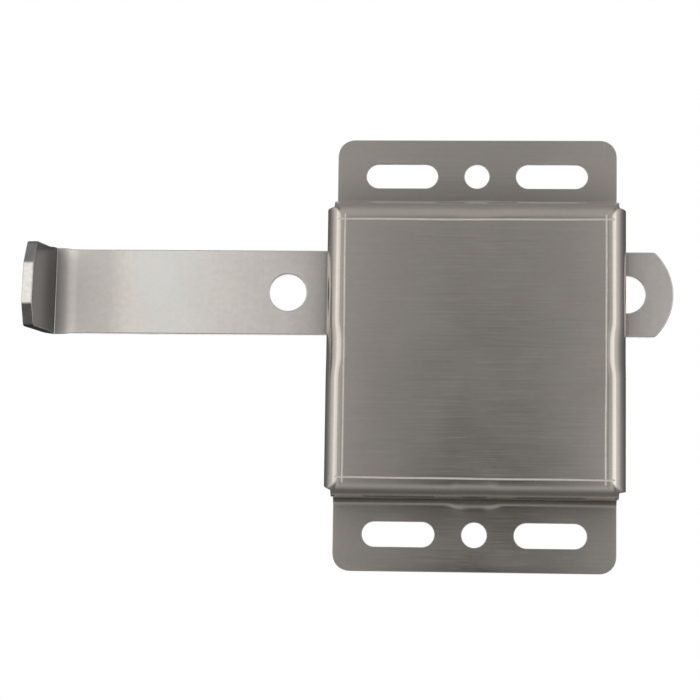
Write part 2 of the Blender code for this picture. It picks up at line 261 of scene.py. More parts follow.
def blank(loops, thickness, edge, edge_steps=3):
    """A flat plate with rounded edges. Material 0 is its two faces and material 1 is its edge."""
    bm = bmesh.new()
    rounding = [math.pi / 2 * step / edge_steps for step in range(edge_steps + 1)]
    rings = [(edge * (1 - math.sin(a)), -edge * (1 - math.cos(a)), a) for a in rounding]
    rings += [(inset, -thickness - n, math.pi - a) for inset, n, a in reversed(rings)]
    normal = bm.verts.layers.float_vector.new("normal")
    rims = ([], [])
    for loop in loops:
        into = inward(loop)
        made = []
        for inset, n, angle in rings:
            ring = []
            for (s, t), (ds, dt) in zip(loop, into):
                vert = bm.verts.new((s + ds * inset, t + dt * inset, n))
                outward = Vector((-ds, -dt, 0)).normalized()
                vert[normal] = outward * math.sin(angle) + Vector((0, 0, math.cos(angle)))
                ring.append(vert)
            made.append(ring)
        for upper, lower in zip(made, made[1:]):
            for i in range(len(loop)):
                j = (i + 1) % len(loop)
                bm.faces.new((upper[i], lower[i], lower[j], upper[j])).material_index = 1
        for rim, ring in zip(rims, (made[0], made[-1])):
            rim += [bm.edges.get((ring[i], ring[(i + 1) % len(ring)])) for i in range(len(ring))]
    for rim in rims:
        bmesh.ops.triangle_fill(bm, edges=rim, use_beauty=True, use_dissolve=False)
    bmesh.ops.recalc_face_normals(bm, faces=bm.faces)
    return bm


ALONG_S, ALONG_T = Vector((1, 0, 0)), Vector((0, 1, 0))


def score(bm, places, across, start=Vector()):
    """Cuts new edges right over the blank, square to across, at those distances along it from start."""
    for place in places:
        bmesh.ops.bisect_plane(
            bm,
            geom=[*bm.verts, *bm.edges, *bm.faces],
            dist=1e-7,
            plane_co=start + across * place,
            plane_no=across,
        )


def spread(start, end, step):
    return list(np.linspace(start, end, max(2, round(abs(end - start) / step) + 1)))


def both_sides(places):
    return sorted({round(sign * place, 9) for place in places for sign in (-1, 1)})


def folded(name, bm, shape, body, materials, scribed=None):
    """Turns a blank into a piece: shape(s, t, n) gives each point's place. The UVs keep the flat blank."""
    normal = bm.verts.layers.float_vector["normal"]
    flat = np.array([vert.co for vert in bm.verts], float)
    flat_normals = np.array([vert[normal] for vert in bm.verts], float)
    bm.verts.layers.float_vector.remove(normal)
    places = shape(*flat.T)
    step = 2e-6
    slopes = []
    for axis in range(3):
        nudge = np.zeros(3)
        nudge[axis] = step
        slopes.append((shape(*(flat + nudge).T) - shape(*(flat - nudge).T)) / (2 * step))
    normals = np.linalg.solve(np.stack(slopes, 1), flat_normals[:, :, None])[:, :, 0]
    normals /= np.linalg.norm(normals, axis=1)[:, None]
    for vert, place in zip(bm.verts, places):
        vert.co = place
    uv = bm.loops.layers.uv.new("flat")
    for face in bm.faces:
        if scribed and face.material_index == 0 and scribed(flat[[vert.index for vert in face.verts]]):
            face.material_index = 2
        for loop in face.loops:
            s, t, _ = flat[loop.vert.index]
            loop[uv].uv = (s * UV_SCALE, t * UV_SCALE)
    mesh = bpy.data.meshes.new(name)
    bm.normal_update()
    bm.to_mesh(mesh)
    bm.free()
    mesh.shade_smooth()
    corners = [
        tuple(polygon.normal) if polygon.material_index == 2 else tuple(normals[mesh.loops[i].vertex_index])
        for polygon in mesh.polygons
        for i in polygon.loop_indices
    ]
    mesh.normals_split_custom_set(corners)
    for material in materials:
        mesh.materials.append(material)
    return placed(name, mesh, body)


def placed(name, data, body):
    obj = bpy.data.objects.new(name + "_finish", data)
    bpy.context.scene.collection.objects.link(obj)
    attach(obj, body)
    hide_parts(name)
    return obj


# --- Housing -----------------------------------------------------------------------------------------------


housing_low, housing_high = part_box("housing")
DEPTH = -housing_low.y
PANEL_BACK = DEPTH - SHEET
PANEL_EDGE = BOX_HALF - PANEL_BEND
BEND_ARC = PANEL_BEND * math.pi / 2
SIDE_END = PANEL_EDGE + BEND_ARC + DEPTH - PANEL_BEND
ROOT_START = PANEL_EDGE + BEND_ARC + PANEL_BACK - ROOT_BEND - PANEL_BEND
ROOT_ARC = ROOT_BEND * math.pi / 2
FLANGE_START = ROOT_START + ROOT_ARC
FLANGE_END = FLANGE_START + housing_high.z - BOX_HALF - ROOT_BEND
NOTCH = PANEL_EDGE + PANEL_BEND * NOTCH_TURN
BOLT_Z = sum(corner.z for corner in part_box("spring_drive_pin")) / 2


def dart(along):
    return np.exp(-((np.abs(along) / DART_HALF_LENGTH) ** 4))


def ripple(along, phase):
    """Slow unevenness of a hand-folded bend, between about -1 and 1."""
    waves = ((6.1, 0.5), (13.7, 0.3), (28.3, 0.2))
    return sum(share * np.sin(along * wave * math.tau + phase * wave) for wave, share in waves)


def over_bend(q, radius, reach, end):
    """(place, drop) at flat distance q from the middle: panel, bend, and wall down to that reach."""
    start = BOX_HALF - radius
    length = radius * math.pi / 2
    turn = np.clip((q - start) / radius, 0, math.pi / 2)
    place = np.minimum(q, start) + radius * np.sin(turn)
    wall = np.clip((q - start - length) / (end - start - length), 0, 1)
    return place, radius * (1 - np.cos(turn)) + wall * (reach - radius)


def groove(q, along, place, end, half_width, phase):
    """(sideways wander, depth) of a scribed line across q at place, ending at along = end each way."""
    near = np.exp(-(((q - place) / (1.2 * MM)) ** 4))
    reached = np.clip((end + 0.1 * MM - np.abs(along)) / (0.3 * MM), 0, 1)
    depth = np.clip(1 - np.abs(q - place) / half_width, 0, 1) * reached
    depth *= 0.75 + 0.25 * ripple(along * 2.3, phase + 4)
    return SCRIBE_WANDER * ripple(along, phase) * near, SCRIBE_DEPTH * depth


def housing_front(s, t):
    """Where a point of the flat blank's front face ends up."""
    side, end = np.sign(s), np.sign(t)
    across, up = np.abs(s), np.abs(t)
    short = BOTTOM_SHORT * (end < 0) * np.clip((up - PANEL_EDGE + BOTTOM_SHORT) / BOTTOM_SHORT, 0, 1)
    up = up + short
    side_radius = PANEL_BEND + DART_SIDES * dart(t) + RIPPLE * ripple(t, side + 2)
    end_radius = PANEL_BEND + DART_ENDS * dart(s) + RIPPLE * ripple(s, end + 5)
    root_radius = ROOT_BEND + np.where(end > 0, *DART_ROOTS) * dart(s) + RIPPLE * ripple(s, end + 9)
    (width_x, width_z), (over_z, over_x) = SCRIBE_HALF_WIDTHS, SCRIBE_OVERSHOOTS
    line_x = SCRIBE_X - side * SCRIBE_OFF_CENTRE
    wander_x, groove_x = groove(across, t, line_x, SCRIBE_Z + over_z, width_x, side)
    wander_z, groove_z = groove(up, s, SCRIBE_Z, SCRIBE_X + over_x, width_z, end + 3)
    x, drop_x = over_bend(across + wander_x, side_radius, DEPTH, SIDE_END)
    root_start = ROOT_START - 0.5 * (root_radius - ROOT_BEND)
    wall_reach = PANEL_BACK - root_radius
    z, drop_z = over_bend(up + wander_z, end_radius, wall_reach, root_start)
    root = np.clip((up - root_start) / (FLANGE_START - root_start), 0, 1) * math.pi / 2
    flange = np.clip((up - FLANGE_START) / (FLANGE_END - FLANGE_START), 0, None)
    bulge = (root_radius - ROOT_BEND) * np.exp(-((np.clip(up - FLANGE_START, 0, None) / DART_FADE) ** 2))
    z = z + (ROOT_BEND + bulge) * (1 - np.cos(root)) + flange * (housing_high.z - BOX_HALF - ROOT_BEND)
    drop_z = drop_z + root_radius * np.sin(root)
    soft, hard = CORNER_BLEND
    blend = soft + (hard - soft) * np.clip((np.maximum(drop_x, drop_z) - 1 * MM) / (3.5 * MM), 0, 1)
    drop = (drop_x**blend + drop_z**blend) ** (1 / blend)
    return np.stack([side * x, drop + np.maximum(groove_x, groove_z) - DEPTH, end * (z - short)], 1)


def housing_shape(s, t, n):
    """Adds the sheet's thickness, measured square to its front."""
    step = 2e-6
    ds = housing_front(s + step, t) - housing_front(s - step, t)
    dt = housing_front(s, t + step) - housing_front(s, t - step)
    front = np.cross(ds, dt)
    front /= np.linalg.norm(front, axis=1)[:, None]
    return housing_front(s, t) + front * n[:, None]


def housing_blank():
    foot = NOTCH - SIDE_TAPER
    slant_end = NOTCH + SIDE_SLANT_LENGTH
    edge = []
    for (side, end), slant in zip(((1, 1), (-1, 1), (-1, -1), (1, -1)), SIDE_SLANTS):
        corner = [
            (side * SIDE_END, end * foot, 0.4 * MM),
            (side * slant_end, end * (NOTCH - slant), 1.5 * MM),
            (side * NOTCH, end * NOTCH, NOTCH_RADIUS),
            (side * NOTCH, end * FLANGE_END, FLANGE_CORNER),
        ]
        edge += corner[:: side * end]
    loops = [rounded(edge)]
    flange_hole = FLANGE_START + HOLE_Z - BOX_HALF - ROOT_BEND
    for t in (flange_hole, -flange_hole):
        loops.append(circle(0, t, HOLE_DIAMETER / 2))
        for s in (SLOT_X, -SLOT_X):
            loops.append(slot_hole(s, t, SLOT_LENGTH, HOLE_DIAMETER))
    base, top = (SIDE_END - height for height in WINDOW_HEIGHTS)
    for side in (1, -1):
        low, high = BOLT_Z - WINDOW_HALF, BOLT_Z + WINDOW_HALF
        corners = [(side * top, low), (side * top, high), (side * base, high), (side * base, low)]
        loops.append(rounded([(*corner, 0.5 * MM) for corner in corners[::side]]))
    bm = blank(loops, SHEET, SHEET_EDGE)
    bends = spread(BOX_HALF - 7.6 * MM, BOX_HALF + 4.4 * MM, 0.4 * MM)
    panel = spread(0, BOX_HALF - 7.6 * MM, 3.6 * MM)
    upright, level = ([place * width for place in (-1, -0.5, 0, 0.5, 1)] for width in SCRIBE_HALF_WIDTHS)
    upright = [side * SCRIBE_X - SCRIBE_OFF_CENTRE + off for side in (-1, 1) for off in upright]
    side_wall = spread(BOX_HALF + 4.4 * MM, SIDE_END, 3 * MM)[:-1]
    end_wall = spread(BOX_HALF + 4.4 * MM, ROOT_START - 1.2 * MM, 3 * MM)
    roots = spread(ROOT_START - 1.2 * MM, FLANGE_START + 0.4 * MM, 0.33 * MM)
    flange = spread(FLANGE_START + 0.4 * MM, FLANGE_END, 4 * MM)[:-1]
    score(bm, [*both_sides([*panel, *bends, *side_wall]), *upright], ALONG_S)
    score(bm, both_sides([*panel, *bends, *(SCRIBE_Z + off for off in level)]), ALONG_T)
    score(bm, both_sides([*end_wall, *roots, *flange]), ALONG_T)
    darts = both_sides(spread(0, DART_HALF_LENGTH * 1.4, 0.7 * MM))
    score(bm, darts, ALONG_S)
    score(bm, darts, ALONG_T)
    return bm


def on_scribe(points):
    if points[:, 2].min() < -0.01 * MM:
        return False
    s, t = points.mean(0)[:2]
    line_x = abs(abs(s + SCRIBE_OFF_CENTRE) - SCRIBE_X)
    line_z = abs(abs(t) - SCRIBE_Z)
    (width_x, width_z), (over_z, over_x) = SCRIBE_HALF_WIDTHS, SCRIBE_OVERSHOOTS
    upright = line_x < width_x and abs(t) < SCRIBE_Z + over_z
    level = line_z < width_z and abs(s) < SCRIBE_X + over_x
    return upright or level


# --- Bolt --------------------------------------------------------------------------------------------------

bolt_low, bolt_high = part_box("slide_bolt")
PIN_X = {
    name: sum(corner.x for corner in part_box(name)) / 2
    for name in ("spring_drive_pin", "open_stop_pin", "closed_stop_pin")
}
PIN_Z = {name: sum(corner.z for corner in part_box(name)) / 2 for name in PIN_X}


def bolt_end(radius, corner, steps=28):
    """Half outline of the bolt's right end, as (distance back from the tip, offset), tip first."""
    reach = radius - corner
    side = BOLT_HALF - corner
    corner_back = radius - math.sqrt(reach**2 - side**2)
    meeting = math.asin(side / reach)
    points = []
    for step in range(steps + 1):
        a = meeting * step / steps
        points.append((radius * (1 - math.cos(a)), radius * math.sin(a)))
    for step in range(1, 9):
        a = meeting + (math.pi / 2 - meeting) * step / 8
        points.append((corner_back - corner * math.cos(a), side + corner * math.sin(a)))
    return points


TAB_TURNS = (TAB_LIFT, TAB_CREASE, TAB_CURVE)
TAB_BEND_LENGTH = sum(length for length, _ in TAB_TURNS)


def tab_slope(beyond):
    """Slope of the bar's front face at that distance past the start of the bend."""
    slope, reached, start = 0 * beyond, 0.0, 0.0
    for length, end in TAB_TURNS:
        slope = slope + (end - reached) * np.clip((beyond - start) / length, 0, 1)
        reached, start = end, start + length
    return slope


BEND_STEP = 0.02 * MM
BEND_AT = np.arange(0, TAB_BEND_LENGTH + BEND_STEP, BEND_STEP)
BEND_OUT, BEND_RISE = (
    np.concatenate([[0], np.cumsum(part(tab_slope(BEND_AT[:-1] + BEND_STEP / 2))) * BEND_STEP])
    for part in (np.cos, np.sin)
)


def bolt_shape(s, t, n):
    """The bar's front face follows the bend, and n is the height over it."""
    along_s, along_t = -math.cos(TAB_SKEW), math.sin(TAB_SKEW)
    beyond = (s - TAB_BEND_X) * along_s + t * along_t
    past = np.clip(beyond, 0, BEND_AT[-1])
    straight = np.clip(beyond - BEND_AT[-1], 0, None)
    slope = tab_slope(past)
    out = np.interp(past, BEND_AT, BEND_OUT) + straight * math.cos(TAB_SLOPE) - n * np.sin(slope)
    out = np.where(beyond < 0, beyond, out)
    rise = np.interp(past, BEND_AT, BEND_RISE) + straight * math.sin(TAB_SLOPE) + n * np.cos(slope)
    side = (s - TAB_BEND_X) * along_t - t * along_s
    crease = TAB_LIFT[0] + TAB_CREASE[0] / 2
    bent = np.exp(-(((beyond - crease) / (4 * MM)) ** 4))
    edge = np.clip((np.abs(t) - BOLT_HALF + 4 * MM) / (4 * MM), 0, 1) ** 2
    side = side + np.sign(t) * TAB_FLARE * bent * edge * np.clip(1 + n / BAR, 0, 1)
    x = TAB_BEND_X + along_s * out + along_t * side
    z = BOLT_Z + along_t * out - along_s * side
    return np.stack([x, -(BOLT_MIDDLE + BAR / 2 + rise), z], 1)


def bolt_blank(left, right):
    right_top = [(right - back, offset) for back, offset in bolt_end(BOLT_END_RADIUS, BOLT_END_CORNER)]
    middle = (left + right) / 2
    cut = (BOLT_HALF - TAB_END_FLAT) * math.tan(TAB_END_CUT)
    tab_end = [
        (middle, BOLT_HALF, 1 * MM),
        (left + cut, BOLT_HALF, TAB_END_CORNER),
        (left, TAB_END_FLAT, 4.5 * MM),
        (left, -TAB_END_FLAT, 4.5 * MM),
        (left + cut, -BOLT_HALF, TAB_END_CORNER),
        (middle, -BOLT_HALF, 1 * MM),
    ]
    skew = math.tan(TAB_END_SKEW)
    tab_end = [(s + (s < middle) * offset * skew, offset, radius) for s, offset, radius in tab_end]
    outline = right_top + rounded(tab_end)[9:-9] + [(s, -offset) for s, offset in reversed(right_top[1:])]
    loops = [outline]
    for s in PADLOCK_HOLES_X:
        loops.append(circle(s, 0, PADLOCK_HOLE / 2, 96))
    for name in PIN_X:
        loops.append(circle(PIN_X[name], PIN_Z[name] - BOLT_Z, PIN_HOLE / 2, 48))
    bm = blank(loops, BAR, BAR_EDGE)
    score(bm, spread(left + 4 * MM, right - 4 * MM, 4 * MM), ALONG_S)
    score(bm, both_sides(spread(0, BOLT_HALF - 0.5 * MM, 2 * MM)), ALONG_T)
    crease = TAB_LIFT[0]
    places = [
        *spread(-0.3 * MM, crease - 0.3 * MM, 0.4 * MM),
        *spread(crease - 0.1 * MM, crease + TAB_CREASE[0] + 0.1 * MM, 0.05 * MM),
        *spread(crease + 0.7 * MM, TAB_BEND_LENGTH, 0.4 * MM),
    ]
    along_tab = Vector((-math.cos(TAB_SKEW), math.sin(TAB_SKEW), 0))
    score(bm, places, along_tab, Vector((TAB_BEND_X, 0, 0)))
    return bm


# --- Pins, stud, retainer and spring ------------------------------------------------------------------------


def turned(name, body, material, profile, closed=False):
    """A piece turned about Y, centred on its CAD node. The profile is (radius, height), front first."""
    low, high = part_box(name)
    bm = bmesh.new()
    verts = [bm.verts.new((radius, 0, height)) for radius, height in profile]
    for first, second in zip(verts, verts[1:]):
        bm.edges.new((first, second))
    if closed:
        bm.edges.new((verts[-1], verts[0]))
    mesh = bpy.data.meshes.new(name)
    bm.to_mesh(mesh)
    bm.free()
    mesh.materials.append(material)
    obj = bpy.data.objects.new(name + "_finish", mesh)
    bpy.context.scene.collection.objects.link(obj)
    obj.location = ((low.x + high.x) / 2, 0, (low.z + high.z) / 2)
    obj.rotation_euler = (math.pi / 2, 0, 0)
    screw = obj.modifiers.new("turn", "SCREW")
    screw.steps = screw.render_steps = 72
    screw.use_merge_vertices = True
    screw.merge_threshold = 1e-6
    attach(obj, body)
    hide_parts(name)
    return obj


def arc_profile(radius, height, edge, start, steps=4):
    """A rounded corner of a turned profile: a quarter circle about (radius, height), clockwise."""
    points = []
    for step in range(steps + 1):
        a = math.radians(start - 90 * step / steps)
        points.append((radius + edge * math.cos(a), height + edge * math.sin(a)))
    return points


def headed_pin(name, top, material):
    edge = PIN_EDGE
    profile = [
        (0, top),
        *arc_profile(PIN_RADIUS - edge, top - edge, edge, 90),
        (PIN_RADIUS, PIN_HEAD_TOP),
        *arc_profile(PIN_HEAD_RADIUS - edge / 2, PIN_HEAD_TOP - edge / 2, edge / 2, 90),
        *arc_profile(PIN_HEAD_RADIUS - edge, PIN_HEAD_BASE + edge, edge, 0),
        (0, PIN_HEAD_BASE),
    ]
    return turned(name, "bolt", material, profile)


def make_stud(material):
    top = PANEL_BACK - GAP
    base = top - STUD_FLANGE
    edge = PIN_EDGE
    profile = [
        (0, top),
        (PIN_HEAD_RADIUS - edge / 2, top),
        (PIN_HEAD_RADIUS, top - edge / 2),
        *arc_profile(PIN_HEAD_RADIUS - edge / 2, base + edge / 2, edge / 2, 0),
        (PIN_RADIUS, base),
        *arc_profile(PIN_RADIUS - edge, STUD_END + edge, edge, 0),
        (0, STUD_END),
    ]
    return turned("spring_anchor_stud", "housing", material, profile)


def make_retainer(material):
    bore = PIN_RADIUS + GAP
    base, top = RETAINER_HEIGHTS
    rise = (top - base) / 2
    edge = rise / 2
    profile = [
        (bore, top - rise),
        (RETAINER_RADIUS - edge, top),
        (RETAINER_RADIUS, top - edge),
        (RETAINER_RADIUS, base + edge / 2),
        (RETAINER_RADIUS - edge / 2, base),
        (bore, base - rise),
    ]
    return turned("spring_retainer", "housing", material, profile, closed=True)


def leaving_angle(start, start_radius, end, end_radius):
    """Where an anticlockwise circle is left, on the straight line that joins the next one."""
    link = end - start
    heading = math.atan2(link.y, link.x) - math.asin((end_radius - start_radius) / link.length)
    return heading - math.pi / 2


def wire_arc(centre, radius, start, sweep, height, climb=0.0):
    steps = math.ceil(sweep / math.radians(7.5))
    for step in range(steps + 1):
        share = step / steps
        a = start + sweep * share
        place = centre + radius * Vector((math.cos(a), math.sin(a)))
        yield Vector((place.x, -(height + climb * share), place.y))


def make_spring(material):
    low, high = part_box("spring_anchor_stud")
    anchor = Vector(((low.x + high.x) / 2, (low.z + high.z) / 2))
    drive = Vector((PIN_X["spring_drive_pin"], PIN_Z["spring_drive_pin"]))
    into_coil = leaving_angle(anchor, EYE_RADIUS, COIL_CENTRE, COIL_RADIUS)
    out_of_coil = leaving_angle(COIL_CENTRE, COIL_RADIUS, drive, EYE_RADIUS)
    coil_sweep = (out_of_coil - into_coil) % math.tau + math.tau * COIL_TURNS
    climb = -COIL_PITCH * coil_sweep / math.tau
    route = [
        *wire_arc(anchor, EYE_RADIUS, into_coil - EYE_SWEEP, EYE_SWEEP, ANCHOR_EYE_HEIGHT),
        *wire_arc(COIL_CENTRE, COIL_RADIUS, into_coil, coil_sweep, ANCHOR_EYE_HEIGHT, climb),
        *wire_arc(drive, EYE_RADIUS, out_of_coil, EYE_SWEEP, ANCHOR_EYE_HEIGHT + climb),
    ]
    curve = bpy.data.curves.new("toggle_spring", "CURVE")
    curve.dimensions = "3D"
    curve.bevel_depth = WIRE_RADIUS
    curve.bevel_resolution = 6
    curve.use_fill_caps = True
    curve.materials.append(material)
    spline = curve.splines.new("POLY")
    spline.points.add(len(route) - 1)
    for point, place in zip(spline.points, route):
        point.co = (*place, 1)
    spline.use_smooth = True
    return placed("toggle_spring", curve, "spring")


# --- Materials ----------------------------------------------------------------------------------------------


class Nodes:
    """Builds one node tree: each call adds a node and returns it."""

    def __init__(self, tree):
        self.tree = tree

    def add(self, kind, values=(), **settings):
        made = self.tree.nodes.new("ShaderNode" + kind)
        for name, value in settings.items():
            setattr(made, name, value)
        for key, value in dict(values).items():
            self.give(made.inputs[key], value)
        return made

    def give(self, socket, value):
        if isinstance(value, bpy.types.NodeSocket):
            self.tree.links.new(value, socket)
        elif isinstance(value, bpy.types.Node):
            self.tree.links.new(value.outputs[0], socket)
        else:
            socket.default_value = value

    def maths(self, operation, *values):
        return self.add("Math", enumerate(values), operation=operation).outputs[0]

    def times(self, first, *others):
        for other in others:
            first = self.maths("MULTIPLY", first, other)
        return first

    def without(self, first, *shares):
        """The first value with each share of it taken away in turn."""
        return self.times(first, *(self.maths("SUBTRACT", 1.0, share) for share in shares))

    def towards(self, first, second, share):
        return self.maths("ADD", first, self.maths("MULTIPLY", share, self.maths("SUBTRACT", second, first)))

    def split(self, vector):
        return self.add("SeparateXYZ", {0: vector}).outputs

    def ramp(self, value, start, end, low=0.0, high=1.0, smooth=True):
        made = self.add("MapRange", {0: value, 1: start, 2: end, 3: low, 4: high})
        made.interpolation_type = "SMOOTHSTEP" if smooth else "LINEAR"
        return made.outputs[0]

    def mix(self, share, first, second, blend="MIX"):
        made = self.add("Mix", data_type="RGBA", blend_type=blend)
        for index, value in ((0, share), (6, first), (7, second)):
            self.give(made.inputs[index], value)
        return made.outputs[2]

    def through(self, value, stops, unit=1.0):
        """A smooth curve through (place, value) stops, with their places in that unit."""
        start, end = stops[0][0], stops[-1][0]
        share = self.ramp(value, start * unit, end * unit, smooth=False)
        made = self.add("FloatCurve", {1: share})
        points = made.mapping.curves[0].points
        for place, height in stops[1:-1]:
            points.new((place - start) / (end - start), height / 2)
        points[0].location.y = stops[0][1] / 2
        points[-1].location.y = stops[-1][1] / 2
        made.mapping.update()
        return self.maths("MULTIPLY", made.outputs[0], 2.0)

    def noise(self, place, scale, size=1.0, detail=2.0, roughness=0.5):
        moved = self.add("Mapping", {"Vector": place, "Scale": scale})
        made = self.add(
            "TexNoise", {"Vector": moved, "Scale": size, "Detail": detail, "Roughness": roughness}
        )
        return made.outputs[0]


def shader_of(material):
    material.use_nodes = True
    shader = material.node_tree.nodes["Principled BSDF"]
    shader.inputs["Metallic"].default_value = 1
    return Nodes(material.node_tree), shader


def shade(nodes, colour, value):
    """Lightens or darkens a colour by a factor near 1."""
    grey = nodes.add("CombineColor", {0: value, 1: value, 2: value}).outputs[0]
    return nodes.mix(1.0, colour, grey, "MULTIPLY")


def paint_bar_light_and_shade(nodes, flat, base, tone):
    """(colour, tone) with painted light and shade along the bar's face, a painted highlight on its crease and
    painted shade on the tab's inner face.
    """
    u = nodes.split(flat)[0]
    facing = nodes.split(nodes.add("NewGeometry").outputs["True Normal"])
    beyond = nodes.ramp(u, CREASE_U - 0.002, CREASE_U + 0.002, 1.0, 0.0)
    front = nodes.maths("SUBTRACT", nodes.ramp(facing[1], -0.7, -0.3, 1.0, 0.0), beyond)
    front = nodes.maths("MAXIMUM", front, 0.0)
    # Painted light and shade along the bar's face.
    painted_bar_light = nodes.through(u, BAR_PAINTED_LIGHT_AND_SHADE, MM * UV_SCALE)
    tone = nodes.without(tone, nodes.times(front, nodes.maths("SUBTRACT", 1.0, painted_bar_light)))
    # Painted highlight along the crease.
    off = nodes.maths("ABSOLUTE", nodes.maths("SUBTRACT", u, CREASE_U))
    glint = nodes.ramp(off, 0.0012, 0.0026, CREASE_GLINT, 0.0)
    tone = nodes.times(tone, nodes.maths("ADD", 1.0, glint))
    # Painted shade on the tab's inner face.
    tab_shade = nodes.through(nodes.maths("SUBTRACT", u, CREASE_U), TAB_PAINTED_SHADE, MM * UV_SCALE)
    inner = nodes.ramp(facing[0], 0.3, 0.7)
    return nodes.mix(beyond, base, TAB_COLOUR), nodes.without(tone, nodes.times(beyond, inner, tab_shade))


def paint_panel_light(nodes, flat, tone):
    """Painted light on the panel: its tone brighter along its sides and in its lower right corner, as in the
    photo.
    """
    u, v, _ = nodes.split(flat)
    sides = nodes.ramp(nodes.maths("ABSOLUTE", u), 0.26, 0.4, 0.0, PAINTED_LIGHT_SIDES)
    corner = nodes.times(nodes.ramp(u, 0.2, 0.4), nodes.ramp(v, -0.05, -0.35, 0.0, PAINTED_LIGHT_CORNER))
    on_panel = nodes.ramp(nodes.maths("ABSOLUTE", v), 0.42, 0.5, 1.0, 0.0)
    gain = nodes.times(nodes.maths("ADD", sides, corner), on_panel)
    return nodes.times(tone, nodes.maths("ADD", gain, 1.0))


def brushed(name, colour, roughness, along_u, anisotropy, flecks, clouding, painted_bar_light=False, rubs_and_painted_light=False):
    """Brushed stainless steel. The grain follows the flat blank's U or V, so it runs round the bends."""
    material = bpy.data.materials.new(name)
    nodes, shader = shader_of(material)
    flat = nodes.add("UVMap", uv_map="flat").outputs[0]

    def grain(long, fine, **settings):
        return nodes.noise(flat, (long, fine, 1) if along_u else (fine, long, 1), **settings)

    hairs = grain(5, 520, detail=3, roughness=0.65)
    lines = grain(2.2, 150, detail=2)
    bands = grain(0.8, 26, detail=2)
    clouds = nodes.noise(flat, (1, 1, 1), size=5, detail=3)
    mottle = nodes.noise(flat, (1, 1, 1), size=60, detail=4, roughness=0.6)
    scratches = nodes.ramp(grain(9, 330, detail=1), 0.68, 0.8)
    tone = nodes.ramp(hairs, 0.25, 0.75, -flecks, flecks, smooth=False)
    for layer, amount in (
        (lines, 0.4 * flecks),
        (bands, 0.35 * flecks),
        (clouds, clouding),
        (mottle, 1.5 * clouding),
    ):
        tone = nodes.maths("ADD", tone, nodes.ramp(layer, 0.25, 0.75, -amount, amount, smooth=False))
    tone = nodes.maths("ADD", nodes.maths("ADD", tone, 1.0), nodes.times(scratches, flecks * 1.4))
    # Painted shade: darker deep in corners and right beside another piece, from ambient occlusion.
    corner, contact = (
        nodes.add("AmbientOcclusion", {"Distance": reach}, samples=6).outputs["AO"] for reach in PAINTED_SHADE_REACHES
    )
    tone = nodes.times(
        tone,
        nodes.ramp(corner, 0.35, 0.95, 1.0 - CORNER_PAINTED_SHADE, 1.0, smooth=False),
        nodes.ramp(contact, 0.5, 0.74, 1.0 - CONTACT_PAINTED_SHADE, 1.0),
    )
    base = (*colour, 1)
    # Painted light and shade along the bar, and painted shade on the tab's inner face.
    if painted_bar_light:
        base, tone = paint_bar_light_and_shade(nodes, flat, base, tone)
    # Painted light: the panel brighter along its sides and in its lower right corner.
    if rubs_and_painted_light:
        tone = paint_panel_light(nodes, flat, tone)
    worn = nodes.ramp(nodes.add("NewGeometry").outputs["Pointiness"], 0.53, 0.62)
    toned = nodes.mix(nodes.times(worn, 0.35), shade(nodes, base, tone), WORN_COLOUR)
    nodes.give(shader.inputs["Base Color"], toned)
    rough = nodes.ramp(hairs, 0.25, 0.75, roughness - 0.05, roughness + 0.05, smooth=False)
    rough = nodes.maths("ADD", rough, nodes.ramp(clouds, 0.3, 0.7, -0.02, 0.02))
    nodes.give(shader.inputs["Roughness"], nodes.maths("SUBTRACT", rough, nodes.times(worn, 0.06)))
    relief = nodes.maths("ADD", nodes.times(hairs, 0.35), lines)
    relief = nodes.maths("SUBTRACT", relief, nodes.times(scratches, 0.5))
    bump = nodes.add("Bump", {"Height": relief, "Strength": 0.35, "Distance": 0.00002})
    nodes.give(shader.inputs["Normal"], bump)
    shader.inputs["Anisotropic"].default_value = anisotropy
    shader.inputs["Anisotropic Rotation"].default_value = 0.25 if along_u else 0.0
    tangent = nodes.add("Tangent", direction_type="UV_MAP", uv_map="flat")
    nodes.give(shader.inputs["Tangent"], tangent)
    return material


def sheared(name, colour, roughness, tab=False):
    """A cut edge. The tab's cut corners and sides are rougher than the rest, and darker with painted shade,
    most where the cut corners face down.
    """
    material = bpy.data.materials.new(name)
    nodes, shader = shader_of(material)
    place = nodes.add("TexCoord").outputs["Object"]
    streaks = nodes.noise(place, (900, 250, 900), detail=3)
    patches = nodes.noise(place, (120, 120, 120), detail=3)
    tone = nodes.maths(
        "ADD",
        nodes.ramp(streaks, 0.25, 0.75, 0.88, 1.08, smooth=False),
        nodes.ramp(patches, 0.3, 0.7, -0.06, 0.06, smooth=False),
    )
    rough = nodes.ramp(patches, 0.3, 0.7, roughness - 0.06, roughness + 0.08)
    if tab:
        u = nodes.split(nodes.add("UVMap", uv_map="flat").outputs[0])[0]
        beyond = nodes.ramp(u, CREASE_U - 0.007, CREASE_U + 0.003, 1.0, 0.0)
        upright = nodes.split(nodes.add("NewGeometry").outputs["Normal"])[2]
        tilt = nodes.maths("ABSOLUTE", upright)
        # Painted shade on the tab's cut corners and sides, most on cut corners facing down; the sides are
        # also rougher.
        rough_and_shaded = nodes.times(beyond, nodes.ramp(tilt, 0.12, 0.9))
        corner = nodes.times(beyond, nodes.ramp(tilt, 0.12, 0.3), nodes.ramp(upright, -0.3, 0.3, 0.65, 0.45))
        tone = nodes.without(tone, corner, nodes.times(rough_and_shaded, 0.55))
        rough = nodes.maths("ADD", rough, nodes.times(rough_and_shaded, 0.7))
    nodes.give(shader.inputs["Base Color"], shade(nodes, (*colour, 1), tone))
    nodes.give(shader.inputs["Roughness"], rough)
    bump = nodes.add("Bump", {"Height": streaks, "Strength": 0.4, "Distance": 0.00004})
    nodes.give(shader.inputs["Normal"], bump)
    return material


